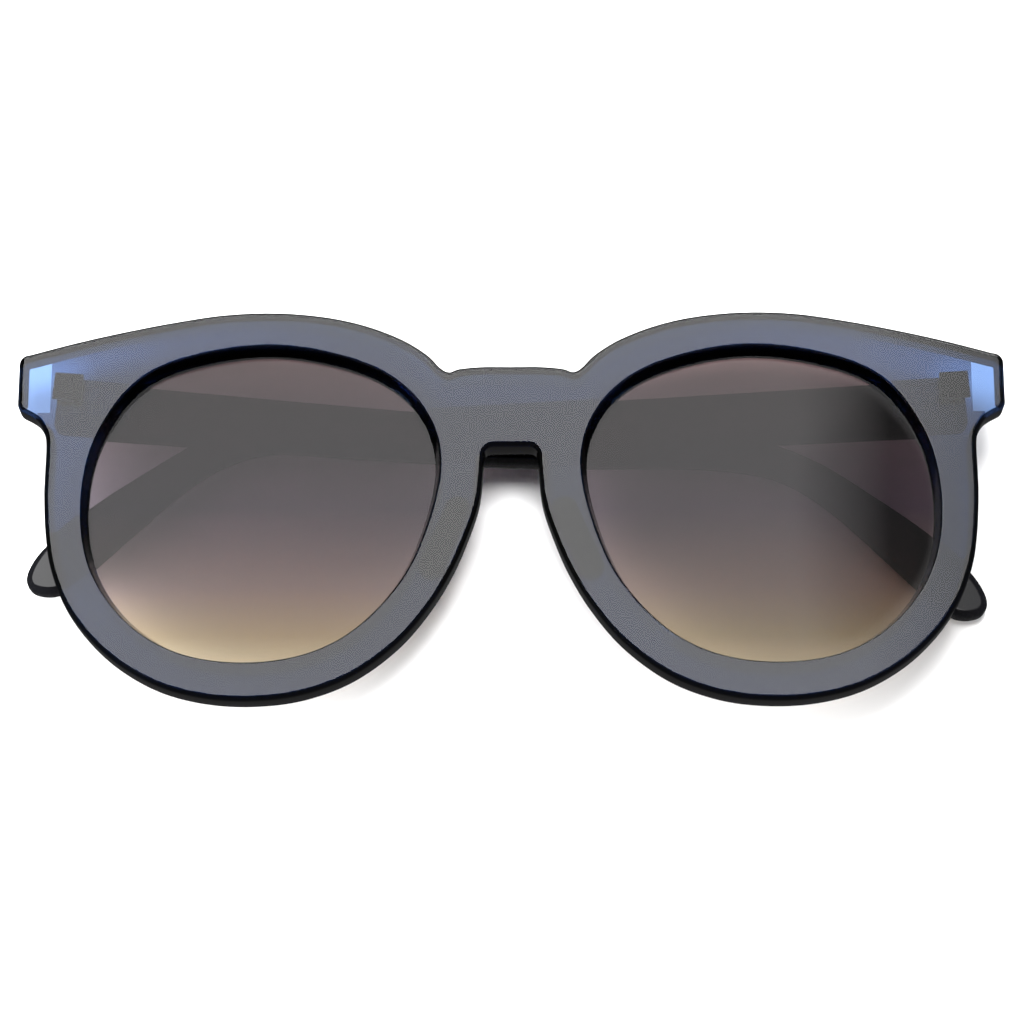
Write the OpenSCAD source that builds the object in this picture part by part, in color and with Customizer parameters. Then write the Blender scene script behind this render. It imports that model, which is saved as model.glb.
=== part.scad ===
// Oversized sunglasses, folded, in millimetres.
// X runs across the front towards the wearer's left, Y up to the brow, Z out of the front face.
// The front is parallel to the XY plane and mirrored about X = 0. The origin is under its centre,
// at the lowest point of the folded temples.
// Left and right are the wearer's own. The right temple folds last, so it is the lower one.

/* [Front] */
// Width of the rim round each lens opening
rim_band = 5.9; // [5:0.1:8]
// Thickness of the front
front_t = 5.4; // [4.8:0.1:7]
// Radius of the outer edge round the front's face
front_edge_r = 0.8; // [0.4:0.1:1]
// Radius of the outer edge round the front's back
back_edge_r = 1.5; // [1:0.1:1.5]
// Drop from the top of the brow to the bridge's upper edge
bridge_drop = 9; // [7:0.1:11]
// Height of the bridge
bridge_h = 12.9; // [11:0.1:14]
// Width of the nose gap at its top
nose_gap_w = 8.2; // [7:0.1:9]
// Radius of the nose gap's upper corners
nose_gap_r = 1.4; // [1:0.1:2]
// Width of the end piece beside the rim
end_piece_reach = 4.6; // [4:0.1:5.2]
// Drop from the top of the brow to the end piece's upper corner
end_piece_drop = 6.9; // [6:0.1:8]
// Height of the end piece
end_piece_h = 9.5; // [8:0.1:11]
// Radius of the end piece's corners
end_piece_r = 1.6; // [1.6:0.1:2]

/* [Lens openings] */
// Width of each lens opening at the front face
opening_w = 54; // [50:0.2:56]
// Height of each lens opening at the front face
opening_h = 50; // [46:0.2:52]
// Distance between the two lens openings
opening_gap = 21.8; // [20:0.2:24]
// Width of the broken edge round each opening
opening_edge = 0.4; // [0.2:0.1:0.6]
// Amount by which the wall leans in between the front face and the lens
opening_draft = 0.65; // [0.2:0.05:0.9]

/* [Lenses] */
// Depth of the lens edge behind the front face
lens_depth = 3; // [2.6:0.1:3.2]
// Thickness of the lens
lens_t = 1.5; // [1.2:0.1:1.7]
// Depth of the groove that holds the lens
groove_depth = 0.7; // [0.5:0.05:0.9]
// Gap all round the lens in its groove
groove_clear = 0.05; // [0.02:0.01:0.1]
// Rise of the lens centre over its edge
lens_rise = 1.2; // [0.6:0.1:1.6]

/* [Nose pads] */
// Length of each nose pad
pad_len = 14; // [11:0.5:15]
// Width of each nose pad at its base
pad_w = 4; // [3.6:0.1:4.4]
// Height of each nose pad behind the front
pad_h = 3.4; // [2.5:0.1:4]
// Height of each pad's centre over the lens centre, negative when lower
pad_y = -4.6; // [-6:0.1:-3.5]
// Distance of each pad's centre from the nearest point of the lens opening, along the front
pad_inset = 0.8; // [0.4:0.1:1.1]
// Lean of each pad, as the nasal rim leans
pad_lean = 23; // [20:1:26]

/* [Hinges] */
// Distance of each hinge axis from the end of the front
hinge_inset = 7.4; // [6.8:0.1:8]
// Distance of each hinge's middle below the end piece's upper corner
hinge_below = 4.6; // [4.2:0.1:5]
// Distance of the hinge axis behind the front's back face
axis_drop = 2.6; // [2.4:0.1:3]
// Lean of the left hinge axis in the plane of the front
left_lean = 4; // [3.5:0.1:4.5]
// Lean of the right hinge axis in the plane of the front
right_lean = 4.7; // [4:0.1:5.5]
// Height of the whole hinge along its axis
hinge_h = 4.8; // [4.2:0.1:5.2]
// Outer radius of the knuckles
knuckle_r = 1.5; // [1.3:0.05:1.6]
// Radius of the bore through the knuckles
bore_r = 0.75; // [0.6:0.01:0.8]
// Radial clearance of the screw in that bore
bore_clear = 0.05; // [0.02:0.01:0.1]
// Gap between neighbouring knuckles along the axis
knuckle_gap = 0.08; // [0.05:0.01:0.12]
// Width of the anchor's foot that is sunk into the front
anchor_w = 4.4; // [3.6:0.1:5]
// Thickness of that foot
anchor_foot = 0.9; // [0.6:0.1:1]
// Width of the web between knuckles and anchor
web_w = 1.7; // [1.3:0.1:2]
// Depth to which the anchor is sunk into the front
anchor_depth = 2.4; // [1.8:0.1:2.6]
// Radius of the screw's head
screw_head_r = 1.15; // [1:0.01:1.2]
// Thickness of the screw's head
screw_head_t = 0.5; // [0.4:0.05:0.6]
// Width of the slot in the screw's head
screw_slot_w = 0.3; // [0.2:0.05:0.4]
// Depth of the slot in the screw's head
screw_slot_t = 0.25; // [0.2:0.05:0.3]

/* [Temples] */
// Length of each temple from its butt face to its tip, measured straight
temple_len = 146; // [140:1:150]
// Thickness of the temples
temple_t = 3.6; // [3.2:0.1:3.8]
// Radius of the temples' long edges
temple_edge_r = 1.1; // [0.6:0.1:1.2]
// Radius of the corners of the temple's butt face
butt_r = 1.5; // [1.3:0.1:2]
// Height of the temple beside the hinge
temple_h = 8.8; // [8.4:0.1:9.2]
// Distance from the hinge axis to the temple's inner face
temple_stand = 1.8; // [1.7:0.05:2]
// Gap between the butt face of an open temple and the front
butt_gap = 0.15; // [0.1:0.05:0.3]
// Gap between the folded temples where they cross
cross_gap = 0.3; // [0.2:0.05:0.5]
// Length of the hinge leaf that is let into the temple
leaf_len = 9; // [7:0.5:11]
// Width of that leaf
leaf_w = 4.2; // [3.6:0.1:4.6]
// Thickness of that leaf
leaf_t = 1; // [0.8:0.1:1.2]
// Width of the wire core inside the temple
core_w = 2.4; // [2:0.1:2.6]
// Thickness of the wire core
core_t = 1.1; // [0.9:0.1:1.2]
// Gap round the hinge parts and wire cores where they are sunk into plastic
sink_clear = 0.03; // [0.02:0.01:0.06]

/* [Hidden] */

// Overrun of every cut past the face that it opens
over = 1;
// Number of points on each span of a curve, and on each rounded edge
span_steps = 4;
lens_steps = 5;
edge_steps = 3;
round_fn = 48;

// Reach of the rims and of the whole front from its middle, and half the front's height
rim_reach = opening_gap / 2 + opening_w + rim_band;
half_w = rim_reach + end_piece_reach;
half_h = opening_h / 2 + rim_band;

// Heights of the bridge and the end pieces over the lens centre
bridge_top = half_h - bridge_drop;
bridge_low = bridge_top - bridge_h;
end_piece_top = half_h - end_piece_drop;
end_piece_low = end_piece_top - end_piece_h;

// Places of the lens openings, hinges and nose pads on the front
opening_x = (opening_gap + opening_w) / 2;
hinge_x = half_w - hinge_inset;
hinge_y = end_piece_top - hinge_below;
pad_x = opening_gap / 2 - pad_inset;

// The folded temples lie parallel, one on the other. At this angle the left one nears the front
// towards its tip and the right one leaves it.
fold_slope = atan((temple_t + cross_gap) / (2 * hinge_x));
temple_mid = temple_stand + temple_t / 2;
temple_tip = temple_len - axis_drop + butt_gap;

// Heights of the front's back face and of the hinge axis over the lowest point
axis_z = (temple_stand + temple_t) * cos(fold_slope) + (temple_tip - temple_edge_r) * sin(fold_slope);
back_z = axis_z + axis_drop;
face_z = back_z + front_t;

front_color = [0.16, 0.2, 0.34];
lens_color = [0.42, 0.4, 0.39, 0.8];
temple_color = [0.03, 0.03, 0.035];
metal_color = [0.72, 0.72, 0.74];
pad_color = [0.2, 0.25, 0.42];

// Point on the curve between b and c, with the neighbours a and d
function curve_point(a, b, c, d, t) =
    ((b * 2) + (c - a) * t + (a * 2 - b * 5 + c * 4 - d) * t * t + (b * 3 - a - c * 3 + d) * t * t * t) / 2;

// Smooth curve through the points, without its last point
function open_curve(points, steps) = [
    for (i = [0 : len(points) - 2], k = [0 : steps - 1])
        curve_point(
            points[max(i - 1, 0)], points[i], points[i + 1], points[min(i + 2, len(points) - 1)], k / steps
        )
];

// Smooth closed curve through the points
function closed_curve(points, steps) = [
    for (i = [0 : len(points) - 1], k = [0 : steps - 1])
        curve_point(
            points[(i - 1 + len(points)) % len(points)], points[i],
            points[(i + 1) % len(points)], points[(i + 2) % len(points)], k / steps
        )
];

// Arc round a centre, both ends included
function arc(centre, r, from, to, steps) = [
    for (k = [0 : steps])
        centre + r * [cos(from + (to - from) * k / steps), sin(from + (to - from) * k / steps)]
];

// Closed outline moved outwards along its normals; the outline runs clockwise
function grown(path, by) = [
    for (i = [0 : len(path) - 1])
        let (
            run = path[(i + 1) % len(path)] - path[(i - 1 + len(path)) % len(path)],
            along = run / norm(run)
        )
        path[i] + by * [-along.y, along.x]
];

// Levels of a slab whose two edges are rounded, from its upper face down: [height, growth]
function rounded_levels(low, high, low_r, high_r) = let (turns = [for (k = [0 : edge_steps]) 90 * k / edge_steps])
concat(
    [for (a = turns) [high - high_r * (1 - cos(a)), -high_r * (1 - sin(a))]],
    [for (k = [edge_steps : -1 : 0]) [low + low_r * (1 - cos(turns[k])), -low_r * (1 - sin(turns[k]))]]
);

// Triangles that fill a flat outline. It starts at its left end, and from there its upper edge,
// at i, and its lower edge, at j, both run to the right.
function filled(path, i, j) =
    j == i + 1 ? []
    : path[i + 1].x < path[j - 1].x ? concat([[i, i + 1, j]], filled(path, i + 1, j))
    : concat([[i, j - 1, j]], filled(path, i, j - 1));

// Solid through a stack of closed outlines, given as lists of points from the top down
module ring_stack(rings) {
    n = len(rings[0]);
    last = len(rings) - 1;
    cover = filled(rings[0], 0, n - 1);
    points = [for (ring = rings, p = ring) p];
    walls = [
        for (k = [0 : last - 1], i = [0 : n - 1])
            let (j = (i + 1) % n)
            each [
                [k * n + j, k * n + i, (k + 1) * n + i],
                [k * n + j, (k + 1) * n + i, (k + 1) * n + j]
            ]
    ];
    under = [for (f = cover) [f[2] + last * n, f[1] + last * n, f[0] + last * n]];
    polyhedron(points, concat(cover, under, walls));
}

// Slab with its outline grown or drawn in at each level
module levelled(path, levels) {
    ring_stack([for (l = levels) [for (p = grown(path, l[1])) [p.x, p.y, l[0]]]]);
}

// The object's two sides: 1 is the wearer's left, -1 the right
module on_side(side) {
    mirror([side < 0 ? 1 : 0, 0, 0]) children();
}

// Outline of the front, clockwise from its left end. The brow's shares are of half the front's
// width and half its height, and the rim's are of its own reach and half the front's height.
brow_shares = [
    [0.144, 0.705], [0.172, 0.775], [0.223, 0.855], [0.3, 0.93], [0.387, 0.977], [0.487, 0.996],
    [0.587, 0.985], [0.693, 0.944], [0.8, 0.89], [0.893, 0.835]
];
bridge_shares = [[0.06, 1], [0.105, 0.985], [0.126, 0.962]];
// Angle through which the end piece's lower corner turns before the scoop under it
scoop_turn = 60;
// Under the end piece, as shares of its reach and of the height of its lower corner
scoop_shares = [[0.58, 0.975], [0.33, 0.92], [0.14, 0.83], [0, 0.68]];
rim_shares = [
    [1, 0.16], [1, 0.04], [0.994, -0.15], [0.981, -0.32], [0.951, -0.5], [0.898, -0.672],
    [0.827, -0.82], [0.738, -0.932], [0.637, -0.99], [0.531, -0.999], [0.43, -0.964],
    [0.33, -0.871], [0.238, -0.71], [0.17, -0.52], [0.122, -0.33], [0.088, -0.14]
];
gap_side_shares = [[1.16, 0.06], [1.02, 0.68]];

function brow_edge() = concat(
    open_curve(
        concat(
            [[0, bridge_top]],
            [for (s = bridge_shares) [s.x * half_w, s.y * bridge_top]],
            [for (s = brow_shares) [s.x * half_w, s.y * half_h]],
            [[half_w - end_piece_r, end_piece_top]]
        ),
        span_steps
    ),
    arc([half_w - end_piece_r, end_piece_top - end_piece_r], end_piece_r, 90, 0, edge_steps)
);

function lower_edge() = concat(
    arc([half_w - end_piece_r, end_piece_low + end_piece_r], end_piece_r, 0, -scoop_turn, edge_steps),
    open_curve(
        concat(
            [for (s = scoop_shares) [rim_reach + s.x * end_piece_reach, s.y * end_piece_low]],
            [for (s = rim_shares) [s.x * rim_reach, s.y * half_h]],
            [for (s = gap_side_shares) [s.x * nose_gap_w / 2, s.y * bridge_low]],
            [[nose_gap_w / 2, bridge_low - nose_gap_r]]
        ),
        span_steps
    ),
    arc([nose_gap_w / 2 - nose_gap_r, bridge_low - nose_gap_r], nose_gap_r, 0, 90, edge_steps),
    [[0, bridge_low]]
);

// Points of an edge on the other side of the middle, in the opposite order
function mirrored(edge) = [for (i = [len(edge) - 1 : -1 : 0]) [-edge[i].x, edge[i].y]];

function front_outline() = let (
    brow = brow_edge(),
    low = lower_edge(),
    low_left = mirrored(low)
) concat(
    mirrored(brow), [for (i = [1 : len(brow) - 1]) brow[i]], low, [for (i = [1 : len(low) - 1]) low_left[i]]
);

// Lens opening at the front face, clockwise. The shares are of half its width and half its height.
lens_shares = [
    [-1, 0.2], [-0.912, 0.59], [-0.63, 0.86], [-0.14, 1], [0.33, 0.957], [0.7, 0.787], [0.93, 0.42],
    [1, 0], [0.94, -0.41], [0.74, -0.737], [0.44, -0.94], [0.06, -1], [-0.31, -0.93], [-0.61, -0.722],
    [-0.857, -0.355]
];

function lens_outline() = closed_curve(
    [for (s = lens_shares) [opening_x + s.x * opening_w / 2, s.y * opening_h / 2]], lens_steps
);

lens_face_z = face_z - lens_depth;
groove_growth = groove_depth - opening_draft;

module lens_opening() {
    levelled(lens_outline(), [
        [face_z + over, opening_edge],
        [face_z, opening_edge],
        [face_z - opening_edge, 0],
        [lens_face_z + groove_clear, -opening_draft],
        [lens_face_z + groove_clear, groove_growth],
        [lens_face_z - lens_t - groove_clear, groove_growth],
        [lens_face_z - lens_t - groove_clear, -opening_draft],
        [back_z, -opening_draft + opening_edge],
        [back_z - over, -opening_draft + opening_edge]
    ]);
}

// Shares of the lens's half size at which its faces have a ring of points. Outside the second
// ring the faces are flat, where the groove holds them.
dome_shares = [1, 0.97, 0.8, 0.55, 0.25];

module lens(side) {
    edge = grown(lens_outline(), groove_growth - groove_clear);
    middle = [opening_x, 0];
    levels = concat(
        [for (k = [len(dome_shares) - 1 : -1 : 0]) [dome_shares[k], 0]],
        [for (s = dome_shares) [s, lens_t]]
    );
    color(lens_color) on_side(side) ring_stack([
        for (l = levels)
            let (rise = lens_rise * max(0, 1 - pow(l[0] / dome_shares[1], 2)))
            [for (p = edge) [
                middle.x + (p.x - middle.x) * l[0], middle.y + (p.y - middle.y) * l[0],
                lens_face_z - l[1] + rise
            ]]
    ]);
}

// Places its children in the frame of a hinge: the axis is along Y through the origin
module at_hinge(side) {
    lean = side > 0 ? left_lean : right_lean;
    on_side(side) translate([hinge_x, hinge_y, axis_z]) rotate([0, 0, lean]) children();
}

// Sunk part of the front's hinge. As a cut it has a gap round it and runs past the back face.
module anchor(gap, past) {
    foot_z = axis_drop + anchor_depth - anchor_foot;
    translate([-anchor_w / 2 - gap, -leaf_w / 2 - gap, foot_z - gap])
        cube([anchor_w + 2 * gap, leaf_w + 2 * gap, anchor_foot + 2 * gap]);
    translate([-web_w / 2 - gap, -leaf_w / 2 - gap, axis_drop - past])
        cube([web_w + 2 * gap, leaf_w + 2 * gap, anchor_depth - anchor_foot + past]);
}

module front_frame() {
    color(front_color) difference() {
        levelled(front_outline(), rounded_levels(back_z, face_z, back_edge_r, front_edge_r));
        for (side = [1, -1]) {
            on_side(side) lens_opening();
            at_hinge(side) anchor(sink_clear, over);
        }
    }
}

// Angle through which each pad's profile turns from its foot to the edge of its top
pad_turn = 80;

// Domed pad on the back of the nasal rim
module nose_pad(side) {
    end = [0, (pad_len - pad_w) / 2];
    outline = concat(
        arc(end, pad_w / 2, 180, 0, 2 * edge_steps),
        arc(-end, pad_w / 2, 0, -180, 2 * edge_steps)
    );
    dome = [for (k = [0 : edge_steps + 1]) let (a = pad_turn * k / (edge_steps + 1)) [
        back_z - pad_h * sin(a), -(pad_w / 2) * (1 - cos(a))
    ]];
    color(pad_color) on_side(side)
        translate([pad_x, pad_y, 0]) rotate([0, 0, pad_lean]) levelled(outline, dome);
}

// Knuckle centred on the hinge axis between two heights along it
module knuckle(low, high) {
    translate([0, low, 0]) rotate([-90, 0, 0]) cylinder(r = knuckle_r, h = high - low, $fn = round_fn);
}

knuckle_h = (hinge_h - 2 * knuckle_gap) / 3;
middle_y = knuckle_h / 2;
outer_y = hinge_h / 2;

module hinge_bore() {
    translate([0, -outer_y - over, 0]) rotate([-90, 0, 0])
        cylinder(r = bore_r, h = hinge_h + 2 * over, $fn = round_fn);
}

module front_hinge(side) {
    color(metal_color) at_hinge(side) difference() {
        union() {
            anchor(0, 0);
            for (end = [1, -1]) {
                low = end > 0 ? middle_y + knuckle_gap : -outer_y;
                knuckle(low, low + knuckle_h);
                translate([-web_w / 2, low, 0]) cube([web_w, knuckle_h, axis_drop]);
            }
        }
        hinge_bore();
        translate([0, outer_y - screw_head_t - bore_clear, 0]) rotate([-90, 0, 0])
            cylinder(r = screw_head_r + bore_clear, h = screw_head_t + over, $fn = round_fn);
    }
}

module hinge_screw(side) {
    color(metal_color) at_hinge(side) difference() {
        union() {
            translate([0, -outer_y, 0]) rotate([-90, 0, 0])
                cylinder(r = bore_r - bore_clear, h = hinge_h - screw_head_t, $fn = round_fn);
            translate([0, outer_y - screw_head_t - bore_clear, 0]) rotate([-90, 0, 0])
                cylinder(r = screw_head_r, h = screw_head_t, $fn = round_fn);
        }
        translate([-screw_slot_w / 2, outer_y - bore_clear - screw_slot_t, -over - screw_head_r])
            cube([screw_slot_w, screw_slot_t + over, 2 * (over + screw_head_r)]);
    }
}

// Places its children in a folded temple's frame: X runs from the hinge axis to the tip,
// Y up, and Z from the axis towards the temple's outer face
module at_temple(side) {
    at_hinge(side) rotate([0, 180 + side * fold_slope, 0]) children();
}

// Temple seen from its side, clockwise. The shares are of its length and of its height at the hinge.
upper_shares = [
    [0.104, 0.405], [0.255, 0.393], [0.372, 0.392], [0.529, 0.397], [0.632, 0.405], [0.7, 0.409],
    [0.741, 0.381], [0.776, 0.301], [0.805, 0.136], [0.831, -0.057], [0.872, -0.44], [0.911, -0.818],
    [0.947, -1.22], [0.981, -1.7]
];
tip_shares = [[0.996, -2.04], [0.999, -2.3], [0.989, -2.48], [0.967, -2.51]];
lower_shares = [
    [0.943, -2.28], [0.922, -2.01], [0.882, -1.455], [0.844, -0.943], [0.813, -0.59],
    [0.783, -0.341], [0.752, -0.205], [0.707, -0.165], [0.652, -0.216], [0.563, -0.341],
    [0.461, -0.443], [0.358, -0.511], [0.221, -0.551], [0.104, -0.57]
];
butt_x = -(axis_drop - butt_gap);
// Share of the temple's height at the hinge that lies over the hinge's middle
butt_top_share = 0.41;

function temple_outline() = let (
    top = butt_top_share * temple_h,
    low = top - temple_h,
    shares = concat(upper_shares, tip_shares, lower_shares)
) concat(
    arc([butt_x + butt_r, top - butt_r], butt_r, 180, 90, edge_steps),
    open_curve(
        concat(
            [[-butt_x, top]],
            [for (s = shares) [butt_x + s.x * temple_len, s.y * temple_h]],
            [[-butt_x, low]]
        ),
        span_steps
    ),
    [[-butt_x, low]],
    arc([butt_x + butt_r, low + butt_r], butt_r, -90, -180, edge_steps)
);

// Middle line of the wire core, as the same shares
core_shares = [
    [0.25, -0.08], [0.43, -0.04], [0.6, 0.07], [0.7, 0.12], [0.755, 0.08], [0.8, -0.17], [0.845, -0.57],
    [0.89, -1.1]
];

function core_outline(gap) = let (
    start = leaf_len - gap,
    line = concat(
        open_curve(
            concat([[start, 0]], [for (s = core_shares) [butt_x + s.x * temple_len, s.y * temple_h]]),
            span_steps
        ),
        [[butt_x + core_shares[len(core_shares) - 1].x * temple_len,
            core_shares[len(core_shares) - 1].y * temple_h]]
    ),
    half = core_w / 2 + gap
) [
    for (edge = [1, -1], k = [0 : len(line) - 1])
        let (
            i = edge > 0 ? k : len(line) - 1 - k,
            run = line[min(i + 1, len(line) - 1)] - line[max(i - 1, 0)],
            along = run / norm(run)
        )
        line[i] + edge * half * [-along.y, along.x]
];

module core(gap) {
    translate([0, 0, temple_mid - core_t / 2 - gap])
        linear_extrude(core_t + 2 * gap) polygon(core_outline(gap));
}

// Leaf that is let into the temple's inner face. As a cut it has a gap round it and runs past that face.
module leaf(gap, past) {
    translate([-butt_x - gap, -leaf_w / 2 - gap, temple_stand - past])
        cube([leaf_len + butt_x + 2 * gap, leaf_w + 2 * gap, leaf_t + gap + past]);
}

module temple(side) {
    color(temple_color) at_temple(side) difference() {
        levelled(
            temple_outline(),
            rounded_levels(temple_stand, temple_stand + temple_t, temple_edge_r, temple_edge_r)
        );
        core(sink_clear);
        leaf(sink_clear, over);
    }
}

module temple_core(side) {
    color(metal_color) at_temple(side) core(0);
}

module temple_hinge(side) {
    color(metal_color) at_temple(side) difference() {
        union() {
            leaf(0, 0);
            knuckle(-middle_y, middle_y);
            translate([0, -middle_y, 0]) cube([leaf_len / 2, knuckle_h, temple_stand - sink_clear]);
            translate([-butt_x, -middle_y, 0])
                cube([leaf_len / 2 + butt_x, knuckle_h, temple_stand + leaf_t / 2]);
        }
        hinge_bore();
    }
}

front_frame();
lens(1);  // lens_left
lens(-1);  // lens_right
nose_pad(1);  // nose_pad_left
nose_pad(-1);  // nose_pad_right
front_hinge(1);  // front_hinge_left
front_hinge(-1);  // front_hinge_right
hinge_screw(1);  // hinge_screw_left
hinge_screw(-1);  // hinge_screw_right
temple(1);  // temple_left
temple(-1);  // temple_right
temple_hinge(1);  // temple_hinge_left
temple_hinge(-1);  // temple_hinge_right
temple_core(1);  // temple_core_left
temple_core(-1);  // temple_core_right
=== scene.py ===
import logging
import math
from dataclasses import dataclass, field
from enum import Enum
from typing import Callable, Iterable, Sequence

import bmesh
import bpy
from mathutils import Matrix, Vector


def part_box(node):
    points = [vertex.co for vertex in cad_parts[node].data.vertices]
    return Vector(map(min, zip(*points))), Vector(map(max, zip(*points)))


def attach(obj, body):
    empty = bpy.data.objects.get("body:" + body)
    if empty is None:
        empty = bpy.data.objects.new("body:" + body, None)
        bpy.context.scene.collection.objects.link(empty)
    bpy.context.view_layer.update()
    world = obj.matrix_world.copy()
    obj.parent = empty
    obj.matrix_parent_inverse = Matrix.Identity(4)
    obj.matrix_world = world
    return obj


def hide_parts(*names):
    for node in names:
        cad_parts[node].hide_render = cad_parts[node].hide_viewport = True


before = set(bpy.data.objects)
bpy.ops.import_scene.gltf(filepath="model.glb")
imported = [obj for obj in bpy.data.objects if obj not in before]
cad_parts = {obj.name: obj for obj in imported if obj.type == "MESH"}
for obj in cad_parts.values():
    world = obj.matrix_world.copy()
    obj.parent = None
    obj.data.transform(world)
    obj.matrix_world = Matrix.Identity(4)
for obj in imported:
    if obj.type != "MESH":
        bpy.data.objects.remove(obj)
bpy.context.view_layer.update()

# Sizes are in millimetres and angles in degrees, in the CAD's own frame, unless a name says otherwise.

MM = 0.001
WELD = 0.002
CREASE = 32
log = logging.getLogger("sunglasses")

Point = tuple[float, float]
Triple = tuple[float, float, float]
Stops = tuple[tuple[float, str], ...]
Loop = list[bmesh.types.BMEdge]
Tree = bpy.types.NodeTree
Socket = bpy.types.NodeSocket


class Side(Enum):
    """The wearer's own sides of the object."""

    LEFT = 1
    RIGHT = -1

    @property
    def word(self) -> str:
        """The side as the CAD nodes name it."""
        return self.name.lower()


# ---------------------------------------------------------------- node helpers and colours


def linear(code: str) -> tuple[float, float, float, float]:
    """Turn an sRGB hex colour into a linear one.

    Args:
        code: six hex digits after a hash.

    Returns:
        Red, green, blue and an alpha of one.
    """
    parts = [int(code[i : i + 2], 16) / 255 for i in (1, 3, 5)]
    return (*(c / 12.92 if c <= 0.04045 else ((c + 0.055) / 1.055) ** 2.4 for c in parts), 1.0)


def add(
    tree: Tree,
    kind: str,
    inputs: dict | None = None,
    stops: Sequence[tuple[float, tuple]] = (),
    **attributes: object,
) -> bpy.types.Node:
    """Add a node with its settings and links.

    Args:
        tree: the material's or lamp's node tree.
        kind: the node's type name.
        inputs: sockets by name or number, each with a value or a socket to link from.
        stops: places and colours of a colour ramp.
        attributes: settings of the node itself.

    Returns:
        The new node.
    """
    node = tree.nodes.new(kind)
    for key, value in attributes.items():
        setattr(node, key, value)
    for key, value in (inputs or {}).items():
        if isinstance(value, Socket):
            tree.links.new(value, node.inputs[key])
        else:
            node.inputs[key].default_value = value
    for i, (place, colour) in enumerate(stops):
        spots = node.color_ramp.elements
        spot = spots[i] if i < len(spots) else spots.new(place)
        spot.position, spot.color = place, colour
    return node


def axes(tree: Tree, place: Socket) -> bpy.types.NodeOutputs:
    """Take coordinates apart into X, Y and Z."""
    return add(tree, "ShaderNodeSeparateXYZ", {"Vector": place}).outputs


def reckon(tree: Tree, operation: str, *values: Socket | float) -> Socket:
    """Result of one Math node."""
    return add(tree, "ShaderNodeMath", dict(enumerate(values)), operation=operation).outputs["Value"]


def between(
    tree: Tree, value: Socket, start: float, end: float, low: float = 0.0, high: float = 1.0
) -> Socket:
    """Spread a value over another range, and clamp it there.

    Args:
        tree: the node tree.
        value: what is spread.
        start: the value that becomes low.
        end: the value that becomes high.
        low: result at the start.
        high: result at the end.

    Returns:
        The result.
    """
    spread = {"Value": value, "From Min": start, "From Max": end, "To Min": low, "To Max": high}
    return add(tree, "ShaderNodeMapRange", spread).outputs["Result"]


def stretched(tree: Tree, place: Socket, scale: Triple) -> Socket:
    """Coordinates that are scaled along each axis."""
    return add(tree, "ShaderNodeMapping", {"Vector": place, "Scale": scale}).outputs["Vector"]


def ramp(tree: Tree, share: Socket, stops: Stops) -> Socket:
    """Colour that goes through hex colours at places from 0 to 1."""
    marks = [(at, linear(code)) for at, code in stops]
    return add(tree, "ShaderNodeValToRGB", {"Fac": share}, stops=marks).outputs["Color"]


def blend(tree: Tree, share: Socket, first: Socket, second: str) -> Socket:
    """Change from the first colour to the second, a hex one, with the share."""
    mix = {"Fac": share, "Color1": first, "Color2": linear(second)}
    return add(tree, "ShaderNodeMixRGB", mix).outputs["Color"]


def noise(tree: Tree, place: Socket, size_mm: float, detail: float = 2.0) -> Socket:
    """Soft noise whose features are this many millimetres across, with finer detail on them."""
    grain = {"Vector": place, "Scale": 1 / (size_mm * MM), "Detail": detail}
    return add(tree, "ShaderNodeTexNoise", grain).outputs["Fac"]


def bump(tree: Tree, height: Socket, depth_mm: float, strength: float = 1.0) -> Socket:
    """Normal that is bumped by a height of this many millimetres."""
    relief = {"Height": height, "Strength": strength, "Distance": depth_mm * MM}
    return add(tree, "ShaderNodeBump", relief).outputs["Normal"]


def worn(tree: Tree, place: Socket, size_mm: float, gloss: Point) -> Socket:
    """Vary roughness in soft patches.

    Args:
        tree: the material's node tree.
        place: the coordinates.
        size_mm: size of a patch.
        gloss: least and most roughness.

    Returns:
        The roughness.
    """
    usual_low, usual_high, fine = 0.3, 0.7, 4.0
    return between(tree, noise(tree, place, size_mm, fine), usual_low, usual_high, *gloss)


# ---------------------------------------------------------------- finishes


@dataclass(frozen=True)
class Finish:
    """What a surface is made of. Each kind fills in its own shader."""

    name: str

    def shade(self, tree: Tree, place: Socket) -> dict[str, Socket]:
        """Build the shader.

        Args:
            tree: the material's node tree, with nothing in it.
            place: the Object coordinates.

        Returns:
            The sockets for the material's output, by name.
        """
        raise NotImplementedError

    def material(self) -> bpy.types.Material:
        """Make the material, or fetch it where it is there already.

        Returns:
            The material.
        """
        made = bpy.data.materials.get(self.name)
        if made is None:
            made = bpy.data.materials.new(self.name)
            made.use_nodes = True
            tree = made.node_tree
            tree.nodes.clear()
            where = add(tree, "ShaderNodeTexCoord").outputs["Object"]
            add(tree, "ShaderNodeOutputMaterial", self.shade(tree, where))
        return made


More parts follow.
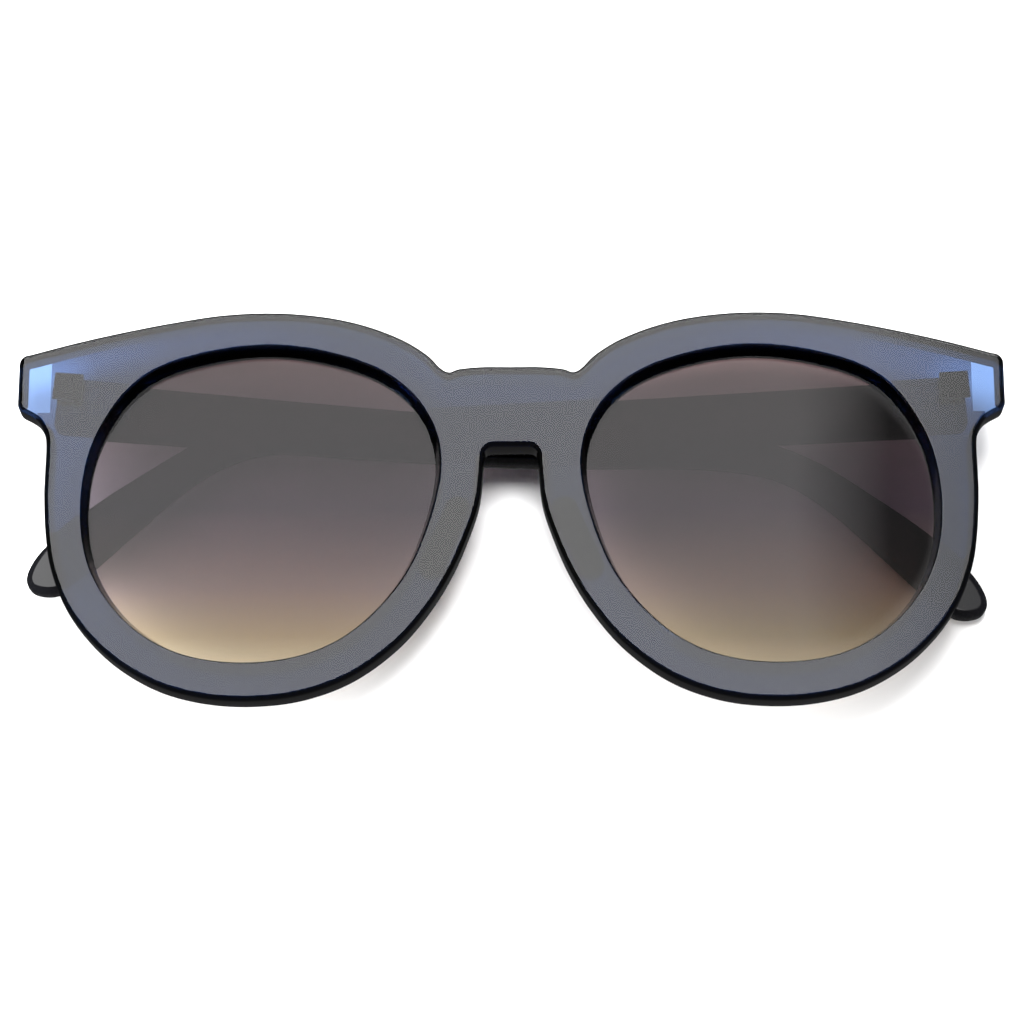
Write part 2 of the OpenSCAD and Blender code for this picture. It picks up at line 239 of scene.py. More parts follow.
@dataclass(frozen=True)
class ClearAcetate(Finish):
    """Translucent cellulose acetate, milled from sheet and hand polished.

    The dye is in the whole body, so it is an absorption. Over it lies a tint of painted light and
    shade: painted shade on the walls, and on the back painted light that is palest at a lit spot by
    each end piece and turns to painted shade away from it, with a pale patch of painted light beyond
    a corner there.
    """

    dye: str = "#2c93c9"
    dye_per_m: float = 420.0
    face: str = "#fbfcff"
    # Painted shade: the dark tint on the walls.
    walls: str = "#0a0c12"
    # Painted light and shade on the back: colours at millimetres from the lit spot, pale to dark.
    back_painted_light: Stops = (
        (0.0, "#5a6e86"), (3.0, "#364661"), (8.0, "#172032"), (20.0, "#080d1a"), (45.0, "#030409"),
    )
    reach: float = 60.0
    # The lit spot by each end piece, where the painted light on the back is palest.
    painted_light_spot: Point = (71.0, 19.4)
    # Pale colour of a patch of painted light on the back, and the corner beyond which it lies.
    cut: str = "#e8eefc"
    painted_patch_from: Point = (70.8, 15.6)
    skin: float = 0.03
    ior: float = 1.49
    gloss: Point = (0.01, 0.03)
    patch_mm: float = 9.0
    wave_mm: float = 14.0
    wave_depth_mm: float = 0.004

    def film(self, tree: Tree, place: Socket) -> Socket:
        """Colour that light takes on at each part of the surface.

        Args:
            tree: the material's node tree.
            place: the Object coordinates.

        Returns:
            The colour: none on the face, painted shade on the walls, and painted light and
            shade on the back.
        """
        slab_low, slab_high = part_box("front_frame")
        at = axes(tree, place)
        across = reckon(tree, "ABSOLUTE", at["X"])
        flat = add(tree, "ShaderNodeCombineXYZ", {"X": across, "Y": at["Y"]}).outputs["Vector"]
        # Painted light and shade on the back, palest at the lit spot and darker with distance from it.
        spot = (*(v * MM for v in self.painted_light_spot), 0.0)
        far = add(tree, "ShaderNodeVectorMath", {0: flat, 1: spot}, operation="DISTANCE")
        share = between(tree, far.outputs["Value"], 0.0, self.reach * MM)
        back = ramp(tree, share, tuple((mm / self.reach, code) for mm, code in self.back_painted_light))
        # A pale patch of painted light on the back, outward and upward of a corner near the lit spot.
        start_x, start_y = (v * MM for v in self.painted_patch_from)
        outward = reckon(tree, "GREATER_THAN", across, start_x)
        upward = reckon(tree, "GREATER_THAN", at["Y"], start_y)
        back = blend(tree, reckon(tree, "MULTIPLY", outward, upward), back, self.cut)
        # Painted shade on the walls: a dark tint on everything between the back and the face.
        over = reckon(tree, "GREATER_THAN", at["Z"], slab_low.z + self.skin * MM)
        side = blend(tree, over, back, self.walls)
        top = reckon(tree, "GREATER_THAN", at["Z"], slab_high.z - self.skin * MM)
        return blend(tree, top, side, self.face)

    def shade(self, tree: Tree, place: Socket) -> dict[str, Socket]:
        """Glass-like surface with the slow waves of hand polishing, over a dyed body.

        Args:
            tree: the material's node tree, with nothing in it.
            place: the Object coordinates.

        Returns:
            The sockets for the material's output, by name.
        """
        waves = noise(tree, place, self.wave_mm)
        surface = add(tree, "ShaderNodeBsdfPrincipled", {
            "Base Color": self.film(tree, place),
            "Roughness": worn(tree, place, self.patch_mm, self.gloss),
            "IOR": self.ior,
            "Transmission Weight": 1.0,
            "Normal": bump(tree, waves, self.wave_depth_mm),
        })
        dyed = {"Color": linear(self.dye), "Density": self.dye_per_m}
        body = add(tree, "ShaderNodeVolumeAbsorption", dyed)
        return {"Surface": surface.outputs["BSDF"], "Volume": body.outputs["Volume"]}


@dataclass(frozen=True)
class BlackAcetate(Finish):
    """Opaque black cellulose acetate, tumbled and polished: a deep black under a clear gloss."""

    streaks: Stops = ((0.35, "#0a0a0c"), (0.7, "#101014"))
    streak_mm: float = 6.0
    stretch: Triple = (0.25, 1.0, 1.0)
    ior: float = 1.49
    gloss: Point = (0.05, 0.11)
    patch_mm: float = 7.0
    wave_mm: float = 11.0
    wave_depth_mm: float = 0.006

    def shade(self, tree: Tree, place: Socket) -> dict[str, Socket]:
        """Dark base with faint streaks of the rolled sheet, and a polished gloss.

        Args:
            tree: the material's node tree, with nothing in it.
            place: the Object coordinates.

        Returns:
            The sockets for the material's output, by name.
        """
        streaks = noise(tree, stretched(tree, place, self.stretch), self.streak_mm)
        waves = noise(tree, place, self.wave_mm)
        surface = add(tree, "ShaderNodeBsdfPrincipled", {
            "Base Color": ramp(tree, streaks, self.streaks),
            "Roughness": worn(tree, place, self.patch_mm, self.gloss),
            "IOR": self.ior,
            "Normal": bump(tree, waves, self.wave_depth_mm),
        })
        return {"Surface": surface.outputs["BSDF"]}


@dataclass(frozen=True)
class GradientLens(Finish):
    """Cast lens plastic, dip-dyed: dense taupe at the top that fades to pale sand at the bottom.

    The tints run from the low to the high edge. The index is a low one, for a lens with a coat that
    mirrors less than bare plastic.
    """

    low_y: float = -25.0
    high_y: float = 25.0
    tints: Stops = (
        (0.0, "#d4c6a6"), (0.1, "#b7a585"), (0.25, "#9e8b86"), (0.5, "#6d616c"), (1.0, "#5c4747"),
    )
    ior: float = 1.35
    gloss: Point = (0.02, 0.04)
    patch_mm: float = 5.0

    def shade(self, tree: Tree, place: Socket) -> dict[str, Socket]:
        """Glass whose colour follows the height on the lens.

        Args:
            tree: the material's node tree, with nothing in it.
            place: the Object coordinates.

        Returns:
            The sockets for the material's output, by name.
        """
        share = between(tree, axes(tree, place)["Y"], self.low_y * MM, self.high_y * MM)
        surface = add(tree, "ShaderNodeBsdfPrincipled", {
            "Base Color": ramp(tree, share, self.tints),
            "Roughness": worn(tree, place, self.patch_mm, self.gloss),
            "IOR": self.ior,
            "Transmission Weight": 1.0,
        })
        return {"Surface": surface.outputs["BSDF"]}


@dataclass(frozen=True)
class Steel(Finish):
    """Nickel silver or steel hinge parts: satin from tumbling, with fine scratches one way.

    What is set into the front was pressed in hot. Inside the front its colour is painted shade.
    """

    tones: Stops = ((0.3, "#8f8c86"), (0.65, "#b8b5ae"))
    scratch_mm: float = 0.12
    stretch: Triple = (1.0, 0.06, 1.0)
    gloss: Point = (0.22, 0.4)
    scratch_detail: float = 3.0
    scratch_depth_mm: float = 0.01
    scratch_strength: float = 0.35
    patch_mm: float = 0.8
    sunk_painted_shade: str = "#0c0c0e"

    def shade(self, tree: Tree, place: Socket) -> dict[str, Socket]:
        """Metal with stretched scratches in its bump and colour, drawn coarse enough to show.

        Args:
            tree: the material's node tree, with nothing in it.
            place: the Object coordinates.

        Returns:
            The sockets for the material's output, by name.
        """
        along = stretched(tree, place, self.stretch)
        lines = noise(tree, along, self.scratch_mm, self.scratch_detail)
        # Painted shade: the metal inside the front slab, above its back, is coloured dark.
        slab_low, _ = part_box("front_frame")
        deep = reckon(tree, "GREATER_THAN", axes(tree, place)["Z"], slab_low.z)
        surface = add(tree, "ShaderNodeBsdfPrincipled", {
            "Base Color": blend(tree, deep, ramp(tree, lines, self.tones), self.sunk_painted_shade),
            "Metallic": 1.0,
            "Roughness": worn(tree, place, self.patch_mm, self.gloss),
            "Normal": bump(tree, lines, self.scratch_depth_mm, self.scratch_strength),
        })
        return {"Surface": surface.outputs["BSDF"]}


@dataclass(frozen=True)
class WhiteTable(Finish):
    """Matt white laminate under the object."""

    tones: Stops = ((0.0, "#f4f4f4"), (1.0, "#f8f8f8"))
    cloud_mm: float = 180.0
    roughness: float = 0.9
    specular: float = 0.1

    def shade(self, tree: Tree, place: Socket) -> dict[str, Socket]:
        """Plain matt white with a barely uneven tone.

        Args:
            tree: the material's node tree, with nothing in it.
            place: the Object coordinates.

        Returns:
            The sockets for the material's output, by name.
        """
        surface = add(tree, "ShaderNodeBsdfPrincipled", {
            "Base Color": ramp(tree, noise(tree, place, self.cloud_mm), self.tones),
            "Roughness": self.roughness,
            "Specular IOR Level": self.specular,
        })
        return {"Surface": surface.outputs["BSDF"]}


NAVY = ClearAcetate("Translucent navy cellulose acetate, polished")
BLACK = BlackAcetate("Opaque black cellulose acetate, polished")
TINTS = {
    Side.RIGHT: GradientLens("Gradient-dyed cast lens plastic"),
    # The left lens has darker tints than the right: painted shade on that lens.
    Side.LEFT: GradientLens("Gradient-dyed cast lens plastic, dipped a little deeper", tints=(
        (0.0, "#b2a282"), (0.1, "#9a8969"), (0.25, "#89756b"), (0.5, "#63535f"), (1.0, "#584443"),
    )),
}
HINGE_METAL = Steel("Tumbled nickel silver hinge")
SCREW_METAL = Steel(
    "Turned stainless steel screw",
    tones=((0.3, "#a4a4a2"), (0.65, "#cfcfcc")),
    scratch_mm=0.08,
    stretch=(0.08, 1.0, 1.0),
    gloss=(0.15, 0.28),
)
CORE_METAL = Steel(
    "Drawn nickel silver wire",
    tones=((0.3, "#7d7a74"), (0.65, "#a9a69f")),
    scratch_mm=0.15,
    stretch=(0.04, 1.0, 1.0),
    gloss=(0.25, 0.4),
)
TABLE = WhiteTable("Matt white laminate")


# ---------------------------------------------------------------- outlines


def curve(points: Sequence[Point], steps: int, closed: bool = False) -> list[Point]:
    """Run a smooth curve through points.

    Args:
        points: the points it goes through.
        steps: points on each span.
        closed: True where it comes back to its start.

    Returns:
        The curve's points, without the last one of an open curve.
    """
    n = len(points)
    pick: Callable[[int], Point] = (
        (lambda i: points[i % n]) if closed else (lambda i: points[min(max(i, 0), n - 1)])
    )
    out = []
    for i in range(n if closed else n - 1):
        a, b, c, d = (Vector(pick(i + k)) for k in (-1, 0, 1, 2))
        for k in range(steps):
            t = k / steps
            square, cube = a * 2 - b * 5 + c * 4 - d, b * 3 - a - c * 3 + d
            spot = b * 2 + (c - a) * t + square * t**2 + cube * t**3
            out.append(tuple(spot / 2))
    return out


def sweep(start: float, end: float, steps: int) -> list[float]:
    """Angles in radians from the start to the end, both included."""
    return [math.radians(start + (end - start) * k / steps) for k in range(steps + 1)]


def arc(centre: Point, radius: float, start: float, end: float, steps: int) -> list[Point]:
    """Points of an arc, both ends included."""
    x, y = centre
    return [(x + radius * math.cos(a), y + radius * math.sin(a)) for a in sweep(start, end, steps)]


def mirrored(path: Iterable[Point]) -> list[Point]:
    """A path on the other side of the middle, in the opposite order."""
    return [(-x, y) for x, y in path][::-1]


def grown(path: Sequence[Point], by: float) -> list[Point]:
    """A closed clockwise path moved outwards along its normals.

    Args:
        path: its points.
        by: how far each one moves.

    Returns:
        The moved points.
    """
    out = []
    for i, here in enumerate(path):
        run = Vector(path[(i + 1) % len(path)]) - Vector(path[i - 1])
        run.normalize()
        out.append((here[0] - by * run.y, here[1] + by * run.x))
    return out


def rounded(low: float, high: float, radii: Point, steps: int, lip: float) -> list[Point]:
    """Levels of a slab with rounded edges, from its upper face down.

    Args:
        low: height of the lower face.
        high: height of the upper face.
        radii: radius of the lower edge and of the upper one.
        steps: facets of each edge.
        lip: width of the flat strip that keeps the faces flat up to the edges.

    Returns:
        Pairs of height and growth.
    """
    turns = sweep(0, 90, steps)
    under, over = radii
    upper = [(high - over * (1 - math.cos(a)), -over * (1 - math.sin(a))) for a in turns]
    lower = [(low + under * (1 - math.cos(a)), -under * (1 - math.sin(a))) for a in reversed(turns)]
    return [(high, -over - lip), *upper, *lower, (low, -under - lip)]


# ---------------------------------------------------------------- mesh building


class Shell:
    """A closed mesh that grows out of wire loops."""

    def __init__(self) -> None:
        """Start empty. Each vertex knows its rank on the loop that it came from."""
        self.bm = bmesh.new()
        self.rank = self.bm.verts.layers.int.new("rank")

    def loop(self, path: Sequence[Point], z: float) -> Loop:
        """Lay a closed wire.

        Args:
            path: its points.
            z: its height.

        Returns:
            Its edges.
        """
        spots = [self.bm.verts.new((x * MM, y * MM, z * MM)) for x, y in path]
        for i, spot in enumerate(spots):
            spot[self.rank] = i
        return [self.bm.edges.new((spots[i - 1], spots[i])) for i in range(len(spots))]

    def wall(self, path: Sequence[Point], levels: Sequence[Point]) -> tuple[Loop, Loop]:
        """Extrude a loop from level to level.

        Args:
            path: the loop at growth zero.
            levels: pairs of height and growth.

        Returns:
            The first and the last loop.
        """
        return self.stack([(grown(path, growth), z) for z, growth in levels])

    def stack(self, rings: Sequence[tuple[Sequence[Point], float]]) -> tuple[Loop, Loop]:
        """Extrude a loop through rings that are given one by one, each as a path and a height.

        Args:
            rings: the rings in order, all with as many points.

        Returns:
            The first and the last loop.
        """
        first = last = self.loop(*rings[0])
        for path, z in rings[1:]:
            made = bmesh.ops.extrude_edge_only(self.bm, edges=last)["geom"]
            last = [item for item in made if isinstance(item, bmesh.types.BMEdge) and item.is_boundary]
            for item in made:
                if isinstance(item, bmesh.types.BMVert):
                    x, y = path[item[self.rank]]
                    item.co = x * MM, y * MM, z * MM
                elif isinstance(item, bmesh.types.BMFace):
                    item.smooth = True
        return first, last

    def fill(self, *loops: Loop, smooth: bool = False) -> None:
        """Close the plane between loops. A loop inside another is a hole.

        Args:
            loops: the loops, all in one plane.
            smooth: True where the faces are shaded smooth.
        """
        edges = [edge for loop in loops for edge in loop]
        made = bmesh.ops.triangle_fill(self.bm, edges=edges, use_beauty=True, use_dissolve=False)
        for item in made["geom"]:
            if isinstance(item, bmesh.types.BMFace):
                item.smooth = smooth

    def done(self, name: str, place: Matrix, finish: Finish) -> bpy.types.Object:
        """Turn the shell into an object in its place.

        Args:
            name: the piece's name.
            place: where the mesh goes, in metres.
            finish: its material.

        Returns:
            The object, at the origin, with its place in its mesh.
        """
        bm = self.bm
        bmesh.ops.remove_doubles(bm, verts=bm.verts, dist=WELD * MM)
        bmesh.ops.transform(bm, matrix=place, verts=bm.verts)
        bmesh.ops.recalc_face_normals(bm, faces=bm.faces)
        for edge in bm.edges:
            edge.smooth = edge.calc_face_angle(0.0) < math.radians(CREASE)
        mesh = bpy.data.meshes.new(name)
        bm.to_mesh(mesh)
        bm.free()
        mesh.materials.append(finish.material())
        piece = bpy.data.objects.new(name, mesh)
        bpy.context.scene.collection.objects.link(piece)
        return piece


def on_side(side: Side) -> Matrix:
    """Mirror a place to its side."""
    return Matrix.Diagonal((side.value, 1, 1, 1))


def dress(piece: bpy.types.Object, body: str, slot: str, *nodes: str) -> None:
    """Tie a finished piece to the CAD.

    Args:
        piece: the piece.
        body: the CAD body it rides on.
        slot: the record's material slot, which is not used.
        nodes: the CAD nodes it stands for.
    """
    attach(piece, body)
    if nodes:
        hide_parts(*nodes)
    faces = len(piece.data.polygons)
    log.info("%s: %d faces on %s, for %s", piece.name, faces, body, ", ".join(nodes) or "-")


# ---------------------------------------------------------------- sub-assemblies


@dataclass
class LensOpening:
    """The outline that the openings and the lenses share, as shares of the half width and height."""

    width: float = 54.0
    height: float = 50.0
    gap: float = 21.8
    steps: int = 12
    shares: tuple[Point, ...] = (
        (-1, 0.2), (-0.912, 0.59), (-0.63, 0.86), (-0.14, 1), (0.33, 0.957), (0.7, 0.787),
        (0.93, 0.42), (1, 0), (0.94, -0.41), (0.74, -0.737), (0.44, -0.94), (0.06, -1),
        (-0.31, -0.93), (-0.61, -0.722), (-0.857, -0.355),
    )

    @property
    def middle_x(self) -> float:
        """Distance of the opening's middle from the middle of the front."""
        return (self.gap + self.width) / 2

    def path(self) -> list[Point]:
        """The opening at the front face, on the left side."""
        spots = [(self.middle_x + x * self.width / 2, y * self.height / 2) for x, y in self.shares]
        return curve(spots, self.steps, closed=True)


@dataclass
class Front:
    """The translucent slab with its rims, bridge and end pieces.

    The outline's stretches are shares: the bridge and brow of the half width and a height, the rim of
    its reach and the half height, the scoop of the end piece, and the gap's side of the gap.
    """

    opening: LensOpening = field(default_factory=LensOpening)
    rim_band: float = 5.9
    reach: float = 4.6
    bridge_drop: float = 9.0
    bridge_height: float = 12.9
    end_drop: float = 6.9
    end_height: float = 9.5
    end_radius: float = 1.6
    scoop_turn: float = 60.0
    gap_width: float = 8.2
    gap_radius: float = 1.4
    edge_radii: Point = (1.5, 0.8)
    edge_steps: int = 8
    span_steps: int = 10
    lip: float = 0.05
    opening_edge: float = 0.4
    opening_edge_steps: int = 4
    draft: float = 0.65
    lens_depth: float = 3.0
    lens_thick: float = 1.5
    groove: float = 0.7
    clear: float = 0.05
    brow: tuple[Point, ...] = (
        (0.144, 0.705), (0.172, 0.775), (0.223, 0.855), (0.3, 0.93), (0.387, 0.977), (0.487, 0.996),
        (0.587, 0.985), (0.693, 0.944), (0.8, 0.89), (0.893, 0.835),
    )
    bridge: tuple[Point, ...] = ((0.06, 1), (0.105, 0.985), (0.126, 0.962))
    scoop: tuple[Point, ...] = ((0.58, 0.975), (0.33, 0.92), (0.14, 0.83), (0, 0.68))
    rim: tuple[Point, ...] = (
        (1, 0.16), (1, 0.04), (0.994, -0.15), (0.981, -0.32), (0.951, -0.5), (0.898, -0.672),
        (0.827, -0.82), (0.738, -0.932), (0.637, -0.99), (0.531, -0.999), (0.43, -0.964),
        (0.33, -0.871), (0.238, -0.71), (0.17, -0.52), (0.122, -0.33), (0.088, -0.14),
    )
    gap_side: tuple[Point, ...] = ((1.16, 0.06), (1.02, 0.68))

    def __post_init__(self) -> None:
        """Take the slab's faces from the CAD, so that the piece stays where the node is."""
        low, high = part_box("front_frame")
        self.back_z, self.face_z = low.z / MM, high.z / MM
        self.lens_z = self.face_z - self.lens_depth
        self.rim_reach = self.opening.gap / 2 + self.opening.width + self.rim_band
        self.half_w = self.rim_reach + self.reach
        self.half_h = self.opening.height / 2 + self.rim_band

    def outline(self) -> list[Point]:
        """Outline of the whole front, clockwise from its left end.

        Returns:
            The points at growth zero.
        """
        bridge_y = self.half_h - self.bridge_drop
        low_y = bridge_y - self.bridge_height
        end_y = self.half_h - self.end_drop
        end_low = end_y - self.end_height
        corner_x = self.half_w - self.end_radius
        gap_x = self.gap_width / 2
        end_r, gap_r, steps = self.end_radius, self.gap_radius, self.edge_steps
        upper = curve([
            (0, bridge_y),
            *((x * self.half_w, y * bridge_y) for x, y in self.bridge),
            *((x * self.half_w, y * self.half_h) for x, y in self.brow),
            (corner_x, end_y),
        ], self.span_steps)
        upper += arc((corner_x, end_y - end_r), end_r, 90, 0, steps)
        lower = arc((corner_x, end_low + end_r), end_r, 0, -self.scoop_turn, steps)
        lower += curve([
            *((self.rim_reach + x * self.reach, y * end_low) for x, y in self.scoop),
            *((x * self.rim_reach, y * self.half_h) for x, y in self.rim),
            *((x * gap_x, y * low_y) for x, y in self.gap_side),
            (gap_x, low_y - gap_r),
        ], self.span_steps)
        lower += arc((gap_x - gap_r, low_y - gap_r), gap_r, 0, 90, steps)
        lower.append((0, low_y))
        return mirrored(upper) + upper[1:] + lower + mirrored(lower)[1:]

    def opening_levels(self) -> list[Point]:
        """Levels of an opening's wall: a rounded edge, the leaning wall, the groove and the back.

        Returns:
            Pairs of height and growth.
        """
        rise, narrow = self.opening_edge, -self.draft
        turns = sweep(0, 90, self.opening_edge_steps)
        edge = [(self.face_z - rise * (1 - math.cos(a)), rise * (1 - math.sin(a))) for a in turns]
        deep = self.groove - self.draft
        top, base = self.lens_z + self.clear, self.lens_z - self.lens_thick - self.clear
        return [
            (self.face_z, rise + self.lip),
            *edge,
            (top, narrow),
            (top, deep),
            (base, deep),
            (base, narrow),
            (self.back_z, narrow + rise),
            (self.back_z, narrow + rise + self.lip),
        ]

    def build(self) -> None:
        """Make the slab and put it in the place of its node."""
        shell = Shell()
        levels = rounded(self.back_z, self.face_z, self.edge_radii, self.edge_steps, self.lip)
        upper, lower = shell.wall(self.outline(), levels)
        left = self.opening.path()
        walls = [shell.wall(path, self.opening_levels()) for path in (left, mirrored(left))]
        shell.fill(upper, *(first for first, _ in walls))
        shell.fill(lower, *(last for _, last in walls))
        dress(shell.done("front_slab", Matrix(), NAVY), "front", "front_acetate", "front_frame")


@dataclass
class Lenses:
    """The two domed, gradient-dyed lenses."""

    front: Front
    rise: float = 1.2
    flat_share: float = 0.97
    rings: int = 14
    least_share: float = 0.03

    def ring(self, share: float, z: float) -> tuple[list[Point], float]:
        """One ring of a face.

        Args:
            share: its size as a share of the lens.
            z: height of the face at its edge.

        Returns:
            Its path and its height.
        """
        edge = grown(self.front.opening.path(), self.front.groove - self.front.draft - self.front.clear)
        mid = self.front.opening.middle_x
        lift = self.rise * max(0.0, 1 - (share / self.flat_share) ** 2)
        return [(mid + (x - mid) * share, y * share) for x, y in edge], z + lift

    def build(self) -> None:
        """Make both lenses."""
        span = self.flat_share - self.least_share
        shares = [1.0, *(self.flat_share - span * k / self.rings for k in range(self.rings + 1))]
        face, back = self.front.lens_z, self.front.lens_z - self.front.lens_thick
        for side in Side:
            shell = Shell()
            rings = [self.ring(share, face) for share in reversed(shares)]
            rings += [self.ring(share, back) for share in shares]
            for loop in shell.stack(rings):
                shell.fill(loop, smooth=True)
            name = f"lens_{side.word}"
            dress(shell.done(f"{name}_dome", on_side(side), TINTS[side]), "front", "lens_tint", name)


@dataclass
class NosePads:
    """The two domed pads on the back of the nasal rims."""

    front: Front
    length: float = 14.0
    width: float = 4.0
    height: float = 3.4
    middle_y: float = -4.6
    inset: float = 0.8
    lean: float = 23.0
    turn: float = 80.0
    steps: int = 12

    def build(self) -> None:
        """Make both pads."""
        half = self.width / 2
        end = self.length / 2 - half
        path = arc((0, end), half, 180, 0, 2 * self.steps)
        path += arc((0, -end), half, 0, -180, 2 * self.steps)
        levels = [
            (self.front.back_z - self.height * math.sin(a), -half * (1 - math.cos(a)))
            for a in sweep(0, self.turn, self.steps)
        ]
        x = self.front.opening.gap / 2 - self.inset
        for side in Side:
            shell = Shell()
            foot, top = shell.wall(path, levels)
            shell.fill(foot)
            shell.fill(top, smooth=True)
            place = on_side(side) @ Matrix.Translation((x * MM, self.middle_y * MM, 0))
            place @= Matrix.Rotation(math.radians(self.lean), 4, "Z")
            name = f"nose_pad_{side.word}"
            dress(shell.done(f"{name}_dome", place, NAVY), "front", "pad_acetate", name)


@dataclass
class Temples:
    """The two opaque temples, folded, with the seat for each hinge leaf."""

    front: Front
    length: float = 146.0
    thick: float = 3.6
    edge_radii: Point = (1.1, 1.1)
    butt_radius: float = 1.5
    height: float = 8.8
    top_share: float = 0.41
    stand: float = 1.8
    axis_drop: float = 2.6
    butt_gap: float = 0.15
    cross_gap: float = 0.3
    hinge_inset: float = 7.4
    hinge_below: float = 4.6
    left_lean: float = 4.0
    right_lean: float = 4.7
    leaf_length: float = 9.0
    leaf_width: float = 4.2
    leaf_thick: float = 1.0
    sink: float = 0.03
    span_steps: int = 10
    edge_steps: int = 8
    lip: float = 0.08
    upper: tuple[Point, ...] = (
        (0.104, 0.405), (0.255, 0.393), (0.372, 0.392), (0.529, 0.397), (0.632, 0.405),
        (0.7, 0.409), (0.741, 0.381), (0.776, 0.301), (0.805, 0.136), (0.831, -0.057),
        (0.872, -0.44), (0.911, -0.818), (0.947, -1.22), (0.981, -1.7),
    )
    tip: tuple[Point, ...] = ((0.996, -2.04), (0.999, -2.3), (0.989, -2.48), (0.967, -2.51))
    lower: tuple[Point, ...] = (
        (0.943, -2.28), (0.922, -2.01), (0.882, -1.455), (0.844, -0.943), (0.813, -0.59),
        (0.783, -0.341), (0.752, -0.205), (0.707, -0.165), (0.652, -0.216), (0.563, -0.341),
        (0.461, -0.443), (0.358, -0.511), (0.221, -0.551), (0.104, -0.57),
    )

    def __post_init__(self) -> None:
        """Work out where the hinges are, and how the folded temples slope, in radians."""
        self.butt_x = self.butt_gap - self.axis_drop
        self.hinge_x = self.front.half_w - self.hinge_inset
        self.hinge_y = self.front.half_h - self.front.end_drop - self.hinge_below
        self.axis_z = self.front.back_z - self.axis_drop
        self.slope = math.atan((self.thick + self.cross_gap) / (2 * self.hinge_x))

    def place(self, side: Side) -> Matrix:
        """Where a folded temple's own frame lies.

        Args:
            side: left or right.

        Returns:
            The frame: X from the hinge axis to the tip, Y up, Z towards the outer face.
        """
        lean = self.left_lean if side is Side.LEFT else self.right_lean
        hinge = Matrix.Translation((self.hinge_x * MM, self.hinge_y * MM, self.axis_z * MM))
        turn = Matrix.Rotation(math.radians(lean), 4, "Z")
        fold = Matrix.Rotation(math.pi + side.value * self.slope, 4, "Y")
        return on_side(side) @ hinge @ turn @ fold

    def outline(self) -> list[Point]:
        """The temple seen from its side, clockwise.

        Returns:
            The points at growth zero, in its own frame.
        """
        top = self.top_share * self.height
        low = top - self.height
        start = -self.butt_x
        shares = (*self.upper, *self.tip, *self.lower)
        body = [(self.butt_x + x * self.length, y * self.height) for x, y in shares]
        corner = self.butt_x + self.butt_radius
        return [
            *arc((corner, top - self.butt_radius), self.butt_radius, 180, 90, self.edge_steps),
            *curve([(start, top), *body, (start, low)], self.span_steps),
            (start, low),
            *arc((corner, low + self.butt_radius), self.butt_radius, -90, -180, self.edge_steps),
        ]

    def seat(self) -> list[Point]:
        """The hinge leaf's seat in the inner face, clockwise.

        Returns:
            Its four corners.
        """
        near, far = -self.butt_x - self.sink, self.leaf_length + self.sink
        half = self.leaf_width / 2 + self.sink
        return [(near, half), (far, half), (far, -half), (near, -half)]

    def build(self) -> None:
        """Make both temples."""
        low, high = self.stand, self.stand + self.thick
        for side in Side:
            shell = Shell()
            levels = rounded(low, high, self.edge_radii, self.edge_steps, self.lip)
            outer, inner = shell.wall(self.outline(), levels)
            seat, bed = self.seat(), low + self.leaf_thick + self.sink
            mouth, floor = shell.stack([(seat, low), (seat, bed)])
            shell.fill(outer)
            shell.fill(inner, mouth)
            shell.fill(floor)
            name = f"temple_{side.word}"
            piece = shell.done(f"{name}_arm", self.place(side), BLACK)
            dress(piece, f"{side.word}_temple", "temple_acetate", name)


@dataclass
class Metalwork:
    """The hinges, screws and wire cores, which keep their CAD shapes."""

    finishes: dict[str, Finish] = field(default_factory=lambda: {
        "front_hinge": HINGE_METAL, "temple_hinge": HINGE_METAL, "hinge_screw": SCREW_METAL,
        "temple_core": CORE_METAL,
    })

    def build(self) -> None:
        """Give each CAD node its metal."""
        for kind, finish in self.finishes.items():
            for side in Side:
                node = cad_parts[f"{kind}_{side.word}"]
                for spot in node.material_slots:
                    spot.material = finish.material()
                log.info("%s: %s", node.name, finish.name)


@dataclass(frozen=True)
class Softbox:
    """An area lamp that is aimed at the front. Its radiance is that of its own face.

    It shows in mirror reflections where it is mirrored, and through glass where it is refracted.
    A feathered one fades towards one end.
    """

    name: str
    tilt: float
    yaw: float
    distance: float
    size: Point
    radiance: float
    mirrored: bool = True
    refracted: bool = True
    feathered: bool = False


